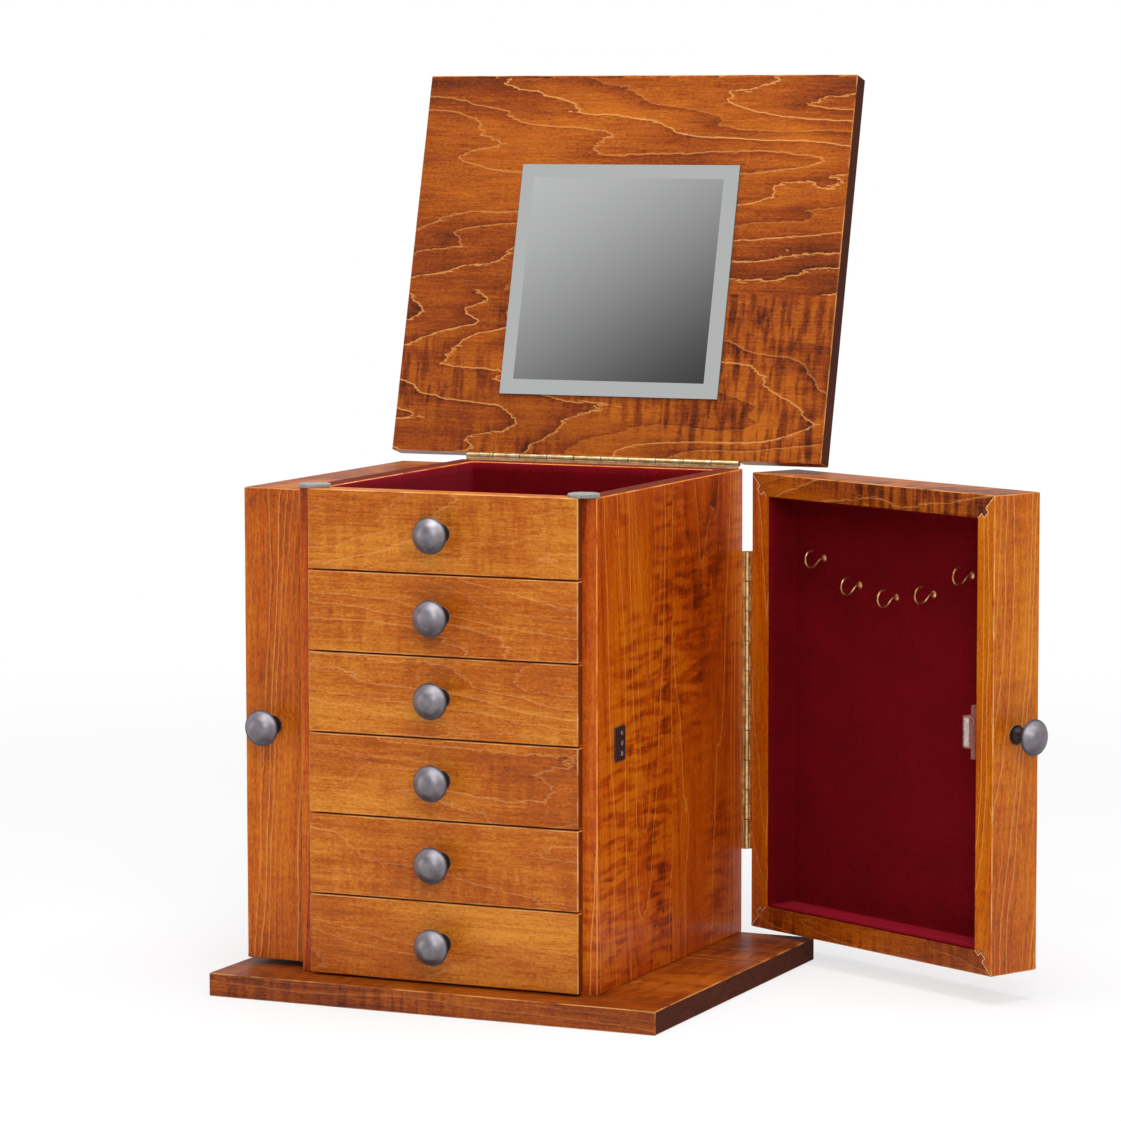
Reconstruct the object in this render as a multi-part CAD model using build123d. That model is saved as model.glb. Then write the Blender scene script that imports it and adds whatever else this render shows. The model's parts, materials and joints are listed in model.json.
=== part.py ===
from build123d import *
import math
import os

# A table-top jewellery chest. A case of drawers stands on a base board. A shallow box door
# hangs from each back corner of the case, and one lid with a mirror covers the case and both
# doors. It stands here with its lid leaning back, its right door open and the rest shut.
# Millimetres. X runs to the right, Y to the back and Z up. The origin is the centre of the
# base board's underside.

# ---- Boards
board = 19.05               # base, case, lid and door frames
thin_board = 6.35           # well floor and drawer dividers
arris = 0.8                 # eased edge of every show board
groove_depth = 5.0          # how far the thin boards are let into the side panels

# ---- Case
case_width = 262.0
case_depth = 304.8
case_height = 395.3
drawer_count = 5            # below the fixed top front

# ---- Base and lid reach past what stands between them
base_front_margin = 38.1
base_side_margin = 8.7
lid_front_margin = 30.2
lid_side_margin = 11.85
lid_gap = 3.4               # closed lid's underside above the case
lid_lean = 14.5             # how far the open lid leans back past upright

# ---- Box doors
door_thickness = 50.8
mitre_near = 10.4           # where the lock of a mitre starts, from the frame's outer edges
mitre_far = 14.9            # and where it ends
mitre_step = 3.1            # how far the lock stands off the mitre
door_bottom_gap = 4.8       # above the base board
door_top_gap = 3.15         # below the top of the case
door_setback = 12.7         # a shut door stops this far behind the side panel's front edge
door_gap = 6.35             # between the case and a shut door
door_panel = 19.05          # thickness of the outer panel
right_door_open = 63.0      # degrees

# ---- Fronts and drawers
front_margin = 12.25        # each end of a front stops this far inside the case's side
front_thickness = 9.5       # the part that stands proud of the case
front_gap = 1.5             # between one front and the next
front_bottom_gap = 2.0
front_seat_gap = 0.3        # between a shut drawer's front and the case
tongue_thickness = 9.5      # the part of a front that enters the case
drawer_side = 9.5
drawer_bottom = 4.0
drawer_bottom_rise = 5.0    # bottom above the lower edge of the drawer's sides
drawer_groove = 4.0
drawer_side_clearance = 0.8
drawer_top_clearance = 2.0
drawer_rest_gap = 0.3
drawer_back_clearance = 8.0

# ---- Velvet and felt
lining = 1.5
lining_setback = 2.0        # velvet stops this far short of the door frame's inner face
well_lining_drop = 0.6      # velvet stops this far below the top of the well
pad_radius = 12.7
pad_clearance = 0.2         # between a pad and the shut lid
pad_setback = 3.2           # pad centre behind the side panels' front edges

# ---- Mirror
mirror_margin = 8.85        # from the velvet on each side of the well to the mirror above it
mirror_thickness = 4.0
mirror_edge = 1.8
mirror_bevel = 12.7
mirror_back_margin = 52.0   # from the lid's back edge

# ---- Piano hinges
lid_hinge_margin = 4.0      # from each side of the case to the hinge's end
door_hinge_margin = 66.675  # from the door's top and bottom edges to the hinge's ends
knuckle_pitch = 12.7
knuckle_play = 0.12         # each end of a knuckle
barrel_radius = 2.35
pin_radius = 1.15
pin_clearance = 0.05
leaf_thickness = 0.9
leaf_width = 14.0           # from the pin's centre
notch_clearance = 0.15      # between a barrel and the other leaf
lid_hinge_rise = 3.7        # pin's centre above the case

# ---- Screws
leaf_screws = 5
leaf_screw_inset = 25.0     # first screw from the hinge's end
leaf_screw_line = 8.5       # screws from the pin's centre
screw_head_radius = 2.4
screw_shank_radius = 1.3
screw_length = 11.0
screw_slot = 0.5
screw_slot_depth = 0.4

# ---- Knobs
knob_head_radius = 14.8
knob_projection = 29.5
knob_rim = 20.0             # underside of the head from the wood
knob_rim_thickness = 2.0
knob_foot_radius = 8.1
knob_foot_thickness = 1.6
knob_collar_radius = 6.9
knob_collar_height = 5.0
knob_neck_radius = 4.6
knob_neck_height = 13.0
knob_screw_radius = 2.0
knob_screw_clearance = 0.3
knob_screw_reach = 9.0      # into the knob
knob_screw_head_radius = 4.2
knob_screw_head = 2.2

# ---- Cup hooks
hook_count = 5
hook_spacing = 44.5
hook_drop = 95.85           # middle hook below the door's upper edge
hook_rise = 6.4             # how much higher the hooks beside the middle one are
hook_wire = 0.9             # radius
hook_flange_radius = 3.4
hook_flange = 1.2
hook_stem = 3.6             # straight part out of the flange
hook_bend = 2.5
hook_reach = 13.8           # centre of the hook's round from the velvet
hook_radius = 7.0
hook_opening = 97.0         # degrees, where the round ends
hook_thread = 9.0           # into the panel

# ---- Magnetic catches
catch_height = 26.0
catch_depth = 15.0
catch_width = 7.0
catch_ear_height = 43.5
catch_ear_thickness = 2.5
catch_ear_depth = 9.0
catch_ear_stand = 2.0       # past the frame's inner face
catch_rise = 2.0            # above the middle of the door
catch_wall = 1.3
catch_magnet_depth = 6.0
catch_plate_gap = 0.4       # between the magnet and its strike plate
catch_magnet_recess = 0.2
catch_screw_radius = 1.4
catch_screw_length = 8.0
strike_width = 19.4
strike_height = 27.5
strike_drop = 2.5           # below the middle of the door
strike_thickness = 1.5
strike_setback = 33.2       # from the side panel's front edge
strike_screw_line = 13.0    # from the plate's front edge
strike_screw_pitch = 8.3
strike_screw_head = 1.9

# ---- Places that follow
door_reach = door_gap + door_thickness
base_width = case_width + 2 * (door_reach + base_side_margin)
base_depth = case_depth + base_front_margin
lid_width = case_width + 2 * (door_reach + lid_side_margin)
lid_depth = case_depth + lid_front_margin
side_x = case_width / 2                    # outer face of the right side panel
inside_x = side_x - board                  # its inner face
back_y = base_depth / 2
front_y = back_y - case_depth              # front edges of the side panels
inside_back_y = back_y - board
floor_z = board                            # top of the base board
top_z = floor_z + case_height
front_count = drawer_count + 1
front_height = (case_height - front_bottom_gap - drawer_count * front_gap) / front_count
front_pitch = front_height + front_gap
front_width = case_width - 2 * front_margin
face_y = front_y - front_thickness         # face of the fixed top front
front_wood = front_thickness + tongue_thickness
box_width = 2 * (inside_x - drawer_side_clearance)
box_front_y = front_y - front_seat_gap
box_back_y = inside_back_y - drawer_back_clearance
box_height = front_pitch - thin_board - drawer_top_clearance
door_low = floor_z + door_bottom_gap
door_high = top_z - door_top_gap
door_inner_x = side_x + door_gap
door_outer_x = door_inner_x + door_thickness
door_front_y = front_y + door_setback
door_mid_z = (door_low + door_high) / 2
strike_mid_z = door_mid_z - strike_drop
door_velvet_x = door_outer_x - door_panel - lining
pin_y = back_y + barrel_radius             # leaves lie flat on the back
lid_hinge_length = case_width - 2 * lid_hinge_margin
door_hinge_length = door_high - door_low - 2 * door_hinge_margin
door_pin_x = side_x + door_gap / 2
lid_pin_z = top_z + lid_hinge_rise
lid_low = top_z + lid_gap
pad_thickness = lid_gap - pad_clearance
mirror_side = 2 * (inside_x - lining - mirror_margin)


def block(x0, x1, y0, y1, z0, z1):
    """A square-edged board between two opposite corners."""
    size = Box(abs(x1 - x0), abs(y1 - y0), abs(z1 - z0))
    return Pos((x0 + x1) / 2, (y0 + y1) / 2, (z0 + z1) / 2) * size


def eased(solid, size=arris):
    """The same board with every edge eased."""
    return chamfer(solid.edges(), size)


def rod(start, end, radius):
    """A round bar from one point to another."""
    start, end = Vector(*start), Vector(*end)
    span = end - start
    return Plane(origin=start, z_dir=span) * Cylinder(
        radius, span.length, align=(Align.CENTER, Align.CENTER, Align.MIN))


def mirrored(shape):
    """The same piece for the left side of the chest."""
    return mirror(shape, about=Plane.YZ)


def gap_centre(index):
    """Height of the gap under the front of that index, counted from the top."""
    return top_z - (index + 1) * front_pitch + front_gap / 2


# ---------------------------------------------------------------- screws and knobs

def wood_screw():
    """A slotted flat-head screw, head flush at z = 0 and shank down -Z."""
    head = Cone(screw_shank_radius, screw_head_radius, leaf_thickness,
                align=(Align.CENTER, Align.CENTER, Align.MAX))
    shank = rod((0, 0, -leaf_thickness), (0, 0, -screw_length), screw_shank_radius)
    slot = Box(2 * screw_head_radius, screw_slot, 2 * screw_slot_depth)
    return head + shank - slot


def knob():
    """A mushroom knob that stands on z = 0, with a blind hole for its screw."""
    rim_top = knob_rim + knob_rim_thickness
    edge = knob_rim_thickness / 2
    section = Polyline((0, 0), (knob_foot_radius, 0), (knob_foot_radius, knob_foot_thickness),
                       (knob_collar_radius, knob_foot_thickness + 0.4))
    section += Spline((knob_collar_radius, knob_foot_thickness + 0.4),
                      (knob_collar_radius - 0.9, knob_collar_height),
                      (knob_neck_radius, knob_neck_height),
                      (knob_head_radius - edge, knob_rim),
                      tangents=[(0, 1), (1, 0.12)])
    section += ThreePointArc((knob_head_radius - edge, knob_rim),
                             (knob_head_radius, knob_rim + edge),
                             (knob_head_radius - edge, rim_top))
    section += Spline((knob_head_radius - edge, rim_top),
                      (knob_head_radius / 2, knob_projection - 1.7),
                      (0, knob_projection), tangents=[(-1, 0.75), (-1, 0)])
    section += Line((0, knob_projection), (0, 0))
    body = revolve(make_face(Plane.XZ * section), Axis.Z)
    return body - rod((0, 0, 0), (0, 0, knob_screw_reach), knob_screw_radius)


def knob_screw(wood):
    """The machine screw behind a knob, its head sunk flush in the back of that much wood."""
    seat = knob_screw_head - wood
    head = rod((0, 0, -wood), (0, 0, seat), knob_screw_head_radius)
    shank = rod((0, 0, seat), (0, 0, knob_screw_reach), knob_screw_radius)
    slot = Pos(0, 0, -wood) * Box(2 * knob_screw_head_radius, 2 * screw_slot, knob_screw_head)
    return head + shank - slot


def knob_bore(wood):
    """The hole for a knob's screw through that much wood, counterbored for its head."""
    hole = rod((0, 0, -wood), (0, 0, 0), knob_screw_radius + knob_screw_clearance)
    return hole + rod((0, 0, -wood), (0, 0, knob_screw_head - wood),
                      knob_screw_head_radius + knob_screw_clearance)


def knob_set(frame, wood):
    return [frame * knob(), frame * knob_screw(wood)]


def on_front(x, y, z):
    """Places a knob's frame on a face that looks to the front."""
    return Plane(origin=(x, y, z), x_dir=(1, 0, 0), z_dir=(0, -1, 0))


# ---------------------------------------------------------------- piano hinges

def leaf(direction, first, length):
    """One leaf with its knuckles. The pin lies on Z and the leaf's back is at -barrel_radius.

    direction is +1 or -1 along X, and first is the index of the leaf's lowest knuckle.
    """
    back = -barrel_radius
    face = back + leaf_thickness
    notch = math.sqrt(barrel_radius ** 2 - face ** 2) + notch_clearance
    count = round(length / knuckle_pitch)
    pitch = length / count
    shape = block(direction * notch, direction * leaf_width, back, face, 0, length)
    for index in range(first, count, 2):
        low = index * pitch + knuckle_play
        high = (index + 1) * pitch - knuckle_play
        shape += rod((0, 0, low), (0, 0, high), barrel_radius)
        shape += block(0, direction * notch, back, face, low, high)
    shape -= rod((0, 0, 0), (0, 0, length), pin_radius + pin_clearance)
    for place in leaf_screw_places(direction, length):
        hole = Cone(screw_shank_radius, screw_head_radius, leaf_thickness,
                    align=(Align.CENTER, Align.CENTER, Align.MAX))
        shape -= place * hole
    return shape


def leaf_screw_places(direction, length):
    """Where a leaf's screws go, each frame's Z pointing out of the wood."""
    face = -barrel_radius + leaf_thickness
    pitch = (length - 2 * leaf_screw_inset) / (leaf_screws - 1)
    return [Plane(origin=(direction * leaf_screw_line, face, leaf_screw_inset + n * pitch),
                  x_dir=(0, 0, 1), z_dir=(0, 1, 0)) for n in range(leaf_screws)]


def leaf_screw_set(direction, length):
    return [place * wood_screw() for place in leaf_screw_places(direction, length)]


def leaf_pilots(direction, length):
    """Pilot holes for a leaf's screws."""
    return [place * rod((0, 0, 0), (0, 0, -screw_length), screw_shank_radius)
            for place in leaf_screw_places(direction, length)]


def hinge_pin(length):
    return rod((0, 0, 0), (0, 0, length), pin_radius)


def placed(frame, shapes):
    return [frame * shape for shape in shapes]


# The fixed leaf is on the -X side of its pin and the moving leaf on the +X side.
right_hinge = Pos(door_pin_x, pin_y, door_low + door_hinge_margin)
lid_hinge = Pos(lid_hinge_length / 2, pin_y, lid_pin_z) * Rot(0, -90, 0)


# ---------------------------------------------------------------- case

def divider(z, front, back):
    """A thin board let into both side panels, centred on a height."""
    half = inside_x + groove_depth
    return block(-half, half, front, back, z - thin_board / 2, z + thin_board / 2)


def well_floor():
    return divider(gap_centre(0), front_y + tongue_thickness, inside_back_y)


def dividers():
    return [divider(gap_centre(i), front_y + thin_board, inside_back_y)
            for i in range(1, drawer_count)]


def strike_screw_places():
    """The strike plate's screws on the right side panel, each frame's Z pointing outwards."""
    y = front_y + strike_setback + strike_screw_line
    return [Plane(origin=(side_x + strike_thickness, y, strike_mid_z + n * strike_screw_pitch),
                  z_dir=(1, 0, 0)) for n in (-1, 0, 1)]


def right_side_panel():
    panel = eased(block(inside_x, side_x, front_y, back_y, floor_z, top_z))
    panel -= well_floor()
    for shelf in dividers():
        panel -= shelf
    for pilot in placed(right_hinge, leaf_pilots(-1, door_hinge_length)):
        panel -= pilot
    for place in strike_screw_places():
        panel -= place * rod((0, 0, 0), (0, 0, -screw_length), screw_shank_radius)
    return panel


def back_panel():
    panel = block(-inside_x, inside_x, inside_back_y, back_y, floor_z, top_z)
    panel = chamfer(panel.edges().group_by(Axis.Z)[-1].filter_by(Axis.X), arris)
    for pilot in placed(lid_hinge, leaf_pilots(-1, lid_hinge_length)):
        panel -= pilot
    return panel


def front(face, low, tongue_width, tongue_low, tongue_high, tongue_back):
    """A lipped front: a plate that stands proud, and a tongue that enters the case."""
    half = front_width / 2
    plate = eased(block(-half, half, face, face + front_thickness, low, low + front_height))
    tongue = block(-tongue_width / 2, tongue_width / 2, face + front_thickness, tongue_back,
                   tongue_low, tongue_high)
    return plate + tongue


def top_front():
    """The fixed front of the well, with its knob."""
    knob_place = on_front(0, face_y, top_z - front_height / 2)
    board_face = front(face_y, top_z - front_height, 2 * inside_x, gap_centre(0) - thin_board / 2,
                       top_z, front_y + tongue_thickness)
    return board_face - knob_place * knob_bore(front_wood), knob_set(knob_place, front_wood)


def strike():
    """The right strike plate, with its screws' heads let in."""
    y = front_y + strike_setback
    plate = block(side_x, side_x + strike_thickness, y, y + strike_width,
                  strike_mid_z - strike_height / 2, strike_mid_z + strike_height / 2)
    plate = fillet(plate.edges().filter_by(Axis.X), arris)
    screws = []
    for place in strike_screw_places():
        head = place * Cone(screw_shank_radius, strike_screw_head, strike_thickness,
                            align=(Align.CENTER, Align.CENTER, Align.MAX))
        shank = place * rod((0, 0, -strike_thickness), (0, 0, -screw_length), screw_shank_radius)
        plate -= head
        screws.append(head + shank)
    return [plate] + screws


def well_lining():
    """Velvet on the floor and the four walls of the well."""
    low = gap_centre(0) + thin_board / 2
    high = top_z - well_lining_drop
    near = front_y + tongue_thickness
    far = inside_back_y
    wall_x = inside_x - lining
    return [block(-inside_x, inside_x, near, far, low, low + lining),
            block(wall_x, inside_x, near, far, low + lining, high),
            block(-inside_x, -wall_x, near, far, low + lining, high),
            block(-wall_x, wall_x, near, near + lining, low + lining, high),
            block(-wall_x, wall_x, far - lining, far, low + lining, high)]


def pad(side):
    x = side * (side_x - pad_radius)
    y = front_y + pad_setback
    disc = rod((x, y, top_z), (x, y, top_z + pad_thickness), pad_radius)
    return fillet(disc.edges().sort_by(Axis.Z)[-1], arris)


# ---------------------------------------------------------------- drawers

def drawer(index):
    """One drawer's front, box, bottom and knob. index 1 is the highest."""
    low = top_z - front_height - index * front_pitch
    face = box_front_y - front_thickness
    seat = gap_centre(index) + thin_board / 2 if index < drawer_count else floor_z
    box_low = seat + drawer_rest_gap
    box_high = box_low + box_height
    tongue_back = box_front_y + tongue_thickness
    half = box_width / 2
    inner = half - drawer_side
    bottom_low = box_low + drawer_bottom_rise
    bottom = block(-inner - drawer_groove, inner + drawer_groove, tongue_back - drawer_groove,
                   box_back_y - drawer_side + drawer_groove, bottom_low,
                   bottom_low + drawer_bottom)
    knob_place = on_front(0, face, low + front_height / 2)
    face_board = front(face, low, 2 * inner, box_low, box_high, tongue_back) - bottom
    face_board -= knob_place * knob_bore(front_wood)
    left = block(-half, -inner, box_front_y, box_back_y, box_low, box_high) - bottom
    right = block(inner, half, box_front_y, box_back_y, box_low, box_high) - bottom
    back = block(-inner, inner, box_back_y - drawer_side, box_back_y, box_low, box_high) - bottom
    return {"front": [face_board], "box": [left, right, back], "bottom": [bottom],
            "knob": knob_set(knob_place, front_wood)}


# ---------------------------------------------------------------- doors, built shut

def lock_mitre(edge_y, edge_z, inwards_y, inwards_z):
    """The joint line of one frame corner, from the outer corner to the inner one."""
    near, far, step = mitre_near, mitre_far, mitre_step
    steps = [(0, 0), (near, near), (near - step, near + step), (far - step, far + step),
             (far, far), (board, board)]
    return [(edge_y + inwards_y * y, edge_z + inwards_z * z) for y, z in steps]


def door_bar(first_joint, last_joint):
    """A bar of the right door's frame, between two of its corner joints."""
    outline = Plane.YZ * Polyline(*first_joint, *reversed(last_joint), close=True)
    bar = Pos(door_inner_x, 0, 0) * extrude(make_face(outline), door_thickness, dir=(1, 0, 0))
    whole = eased(block(door_inner_x, door_outer_x, door_front_y, back_y, door_low, door_high))
    return bar & whole


def hook_places():
    """Flange centres of the cup hooks on the right door's velvet."""
    middle_y = (door_front_y + back_y) / 2
    half = (hook_count - 1) / 2
    steps = [n - half for n in range(hook_count)]
    return [(door_velvet_x, middle_y + s * hook_spacing, door_high - hook_drop + hook_rise * s * s)
            for s in steps]


def cup_hook():
    """A cup hook that stands out along +X from its flange, threaded end down -X."""
    aim = math.acos(hook_radius / (hook_reach - hook_stem))
    touch = 180 + math.degrees(aim)
    foot = (hook_reach + hook_radius * math.cos(math.radians(touch)),
            hook_radius * math.sin(math.radians(touch)))
    path = FilletPolyline((0, 0), (hook_stem, 0), foot, radius=hook_bend)
    path += CenterArc((hook_reach, 0), hook_radius, touch, 360 + hook_opening - touch)
    wire = Plane.XZ * path
    hook = sweep(Plane.YZ * Circle(hook_wire), path=wire)
    hook += rod((0, 0, 0), (-hook_thread, 0, 0), hook_wire)
    dome = Cone(hook_flange_radius, hook_flange_radius / 2, hook_flange,
                align=(Align.CENTER, Align.CENTER, Align.MIN))
    return hook + Plane.YZ * dome


def door_velvet():
    """Velvet on the outer panel and round the inside of the frame, one piece of cloth."""
    near = door_front_y + board
    far = back_y - board
    low = door_low + board
    high = door_high - board
    floor_x = door_outer_x - door_panel
    edge_x = door_inner_x + lining_setback
    outer = block(edge_x, floor_x, near, far, low, high)
    hollow = block(edge_x - 1, floor_x - lining, near + lining, far - lining,
                   low + lining, high - lining)
    return outer - hollow


def catch():
    """The catch's housing with its ears, its magnet, and the screws in the ears."""
    seat_y = door_front_y + board + lining            # on the velvet of the front stile
    face_x = side_x + strike_thickness + catch_plate_gap
    back_x = face_x + catch_depth
    body_y = seat_y + catch_ear_thickness + catch_width
    ear_x = door_inner_x - catch_ear_stand
    middle_z = door_mid_z + catch_rise
    half = catch_height / 2
    body = block(face_x, back_x, seat_y, body_y, middle_z - half, middle_z + half)
    body = chamfer(body.edges().filter_by(Axis.X), catch_wall / 3)
    ear_half = catch_ear_height / 2
    body += block(ear_x, ear_x + catch_ear_depth, seat_y, seat_y + catch_ear_thickness,
                  middle_z - ear_half, middle_z + ear_half)
    pocket = block(face_x, face_x + catch_magnet_depth,
                   seat_y + catch_ear_thickness, body_y - catch_wall,
                   middle_z - half + catch_wall, middle_z + half - catch_wall)
    magnet = pocket & (Pos(catch_magnet_recess, 0, 0) * pocket)
    body -= pocket
    screws = []
    for side in (-1, 1):
        z = middle_z + side * (half + ear_half) / 2
        x = ear_x + catch_ear_depth / 2
        tip = seat_y + catch_ear_thickness - catch_screw_length
        shank = rod((x, seat_y + catch_ear_thickness, z), (x, tip, z), catch_screw_radius)
        body -= shank
        screws.append(shank)
    return body, magnet, screws


def right_door():
    """Every piece of the right door, shut."""
    y0, y1, z0, z1 = door_front_y, back_y, door_low, door_high
    front_low, front_high = lock_mitre(y0, z0, 1, 1), lock_mitre(y0, z1, 1, -1)
    rear_low, rear_high = lock_mitre(y1, z0, -1, 1), lock_mitre(y1, z1, -1, -1)
    front_stile = door_bar(front_low, front_high)
    rear_stile = door_bar(rear_low, rear_high)
    top_rail = door_bar(front_high, rear_high)
    bottom_rail = door_bar(front_low, rear_low)
    panel = block(door_outer_x - door_panel, door_outer_x, y0 + board, y1 - board,
                  z0 + board, z1 - board)
    velvet = door_velvet()
    hooks = []
    for place in hook_places():
        hook = Pos(*place) * Rot(0, 0, 180) * cup_hook()
        thread = rod(place, (place[0] + hook_thread, place[1], place[2]), hook_wire)
        velvet -= thread
        panel -= thread
        hooks.append(hook)
    for pilot in placed(right_hinge, leaf_pilots(1, door_hinge_length)):
        rear_stile -= pilot
    body, magnet, catch_screws = catch()
    for screw in catch_screws:
        velvet -= screw
        front_stile -= screw
    knob_place = on_front((door_inner_x + door_outer_x) / 2, door_front_y, door_mid_z)
    front_stile -= knob_place * knob_bore(board)
    return {"stiles": [front_stile, rear_stile], "rails": [top_rail, bottom_rail],
            "panel": [panel], "velvet": [velvet], "hooks": hooks, "catch": [body],
            "magnet": [magnet], "knob": knob_set(knob_place, board),
            "hinge_leaf": [right_hinge * leaf(1, 1, door_hinge_length)],
            "screws": placed(right_hinge, leaf_screw_set(1, door_hinge_length)) + catch_screws}


# ---------------------------------------------------------------- lid, built shut

def lid():
    """Every piece of the lid, shut."""
    half = lid_width / 2
    panel = eased(block(-half, half, back_y - lid_depth, back_y, lid_low, lid_low + board))
    for pilot in placed(lid_hinge, leaf_pilots(1, lid_hinge_length)):
        panel -= pilot
    mirror_y = back_y - mirror_back_margin - mirror_side / 2
    edge = Plane(origin=(0, mirror_y, lid_low - mirror_edge), z_dir=(0, 0, -1))
    slab = Plane(origin=(0, mirror_y, lid_low), z_dir=(0, 0, -1)) * extrude(
        Rectangle(mirror_side, mirror_side), mirror_edge)
    flat = mirror_side - 2 * mirror_bevel
    rise = mirror_thickness - mirror_edge
    slope = loft([edge * Rectangle(mirror_side, mirror_side),
                  edge * Pos(0, 0, rise) * Rectangle(flat, flat)])
    return {"board": [panel], "mirror": [slab + slope],
            "hinge_leaf": [lid_hinge * leaf(1, 1, lid_hinge_length)],
            "screws": placed(lid_hinge, leaf_screw_set(1, lid_hinge_length))}


# ---------------------------------------------------------------- write every piece

def write(name, shapes):
    """One file for each node: a single solid, or a set of separate ones."""
    whole = shapes[0] if len(shapes) == 1 else Compound(children=[Compound(s.wrapped)
                                                                  for s in shapes])
    export_step(whole, "parts/" + name + ".step")


def write_all(prefix, pieces, place=Location()):
    for name, shapes in pieces.items():
        write(prefix + name, [place * shape for shape in shapes])


os.makedirs("parts", exist_ok=True)

side = right_side_panel()
case_leaf = right_hinge * leaf(-1, 0, door_hinge_length)
strike_set = strike()
case_screws = placed(right_hinge, leaf_screw_set(-1, door_hinge_length))
door_hinge_pin = right_hinge * hinge_pin(door_hinge_length)
well_front, well_knob = top_front()

base = eased(block(-base_width / 2, base_width / 2, -base_depth / 2, base_depth / 2, 0, board))
write("base_board", [base])
write("side_panel_right", [side])
write("side_panel_left", [mirrored(side)])
write("back_panel", [back_panel()])
write("well_floor", [well_floor()])
write("drawer_dividers", dividers())
write("top_front", [well_front])
write("top_front_knob", well_knob)
write("well_velvet", well_lining())
write("bumper_pads", [pad(-1), pad(1)])
write("strike_plates", strike_set + [mirrored(s) for s in strike_set])
write("right_hinge_case_leaf", [case_leaf])
write("left_hinge_case_leaf", [mirrored(case_leaf)])
write("lid_hinge_case_leaf", [lid_hinge * leaf(-1, 0, lid_hinge_length)])
write("hinge_pins", [door_hinge_pin, mirrored(door_hinge_pin),
                     lid_hinge * hinge_pin(lid_hinge_length)])
write("case_hinge_screws", case_screws + [mirrored(s) for s in case_screws]
      + placed(lid_hinge, leaf_screw_set(-1, lid_hinge_length)))

for number in range(1, drawer_count + 1):
    write_all("drawer_" + str(number) + "_", drawer(number))

door = right_door()
right_pin = Axis((door_pin_x, pin_y, 0), (0, 0, 1))
write_all("left_door_", {name: [mirrored(s) for s in shapes] for name, shapes in door.items()})
write_all("right_door_", {name: [s.rotate(right_pin, right_door_open) for s in shapes]
                          for name, shapes in door.items()})

lid_pin = Axis((0, pin_y, lid_pin_z), (1, 0, 0))
write_all("lid_", {name: [s.rotate(lid_pin, -90 - lid_lean) for s in shapes]
                   for name, shapes in lid().items()})
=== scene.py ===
# %% [markdown]
# # A table-top jewellery chest in stained maple
#
# The chest comes in as a frame of finished boards and fittings at their real size. This lesson
# dresses it: the wood gets its figure, the metal its wear, and the cloth is modelled as cloth.
# Every board stays where the frame put it, so each step only reads places and never moves them.

# %% The frame
import bmesh
import bpy
import json
import math
from mathutils import Matrix, Vector, noise


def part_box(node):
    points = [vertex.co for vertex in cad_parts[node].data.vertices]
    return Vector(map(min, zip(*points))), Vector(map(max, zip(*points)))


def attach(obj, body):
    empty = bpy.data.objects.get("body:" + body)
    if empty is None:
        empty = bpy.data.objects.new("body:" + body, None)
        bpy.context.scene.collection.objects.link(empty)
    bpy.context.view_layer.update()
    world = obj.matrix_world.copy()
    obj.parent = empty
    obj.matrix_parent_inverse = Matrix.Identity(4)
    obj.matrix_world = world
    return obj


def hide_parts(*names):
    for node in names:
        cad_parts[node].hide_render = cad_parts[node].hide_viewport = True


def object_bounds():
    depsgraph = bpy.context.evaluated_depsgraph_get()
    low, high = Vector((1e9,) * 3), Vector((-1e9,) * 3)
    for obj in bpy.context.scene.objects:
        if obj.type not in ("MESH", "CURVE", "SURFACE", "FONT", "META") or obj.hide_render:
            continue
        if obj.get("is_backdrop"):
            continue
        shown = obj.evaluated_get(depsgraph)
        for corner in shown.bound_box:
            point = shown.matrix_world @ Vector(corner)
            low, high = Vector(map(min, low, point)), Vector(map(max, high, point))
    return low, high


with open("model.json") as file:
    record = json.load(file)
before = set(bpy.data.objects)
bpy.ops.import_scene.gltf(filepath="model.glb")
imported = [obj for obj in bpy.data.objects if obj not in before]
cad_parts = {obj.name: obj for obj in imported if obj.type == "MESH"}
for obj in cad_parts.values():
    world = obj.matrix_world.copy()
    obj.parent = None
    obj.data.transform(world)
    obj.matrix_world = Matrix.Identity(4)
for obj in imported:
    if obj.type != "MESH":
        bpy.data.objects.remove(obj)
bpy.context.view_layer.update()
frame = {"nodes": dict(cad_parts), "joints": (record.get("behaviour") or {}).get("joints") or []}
nodes = frame["nodes"]
joints = {joint["name"]: joint for joint in frame["joints"]}

# %% [markdown]
# Some boards stand turned in the frame, because the chest is shown with its lid and right door
# open. A board's grain has to turn with it. So each hinge gives a matrix that takes a place in the
# shut chest to the same place as it stands now, and every direction of grain goes through it.

# %% Places that turn with a hinge
MM = 0.001


def opened(hinge):
    """The turn from the shut chest to how this hinge stands now."""
    joint = joints[hinge]
    place = Vector(joint["pos_m"])
    angle = math.radians(-joint["range_deg"][0])
    turn = Matrix.Rotation(angle, 4, Vector(joint["axis"]))
    return Matrix.Translation(place) @ turn @ Matrix.Translation(-place)


SHUT = Matrix.Identity(4)
RIGHT_DOOR = opened("right_door_hinge")
LID = opened("lid_hinge")
X, Y, Z = Vector((1, 0, 0)), Vector((0, 1, 0)), Vector((0, 0, 1))
print("the lid stands", -joints["lid_hinge"]["range_deg"][0], "degrees open")

# %% [markdown]
# The camera stands low and to the right, far off with a long lens, which keeps the boards nearly
# parallel. A place and two angles say more to a reader than a matrix does, so those are written.

# %% Camera
CAMERA_PLACE = Vector((1.5569, -3.3714, 0.7265))
CAMERA_AZIMUTH = math.radians(24.23)
CAMERA_ELEVATION = math.radians(5.83)
CAMERA_ROLL = math.radians(-0.09)
SENSOR_WIDTH = 36
FOCAL_LENGTH = 145.97

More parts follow.
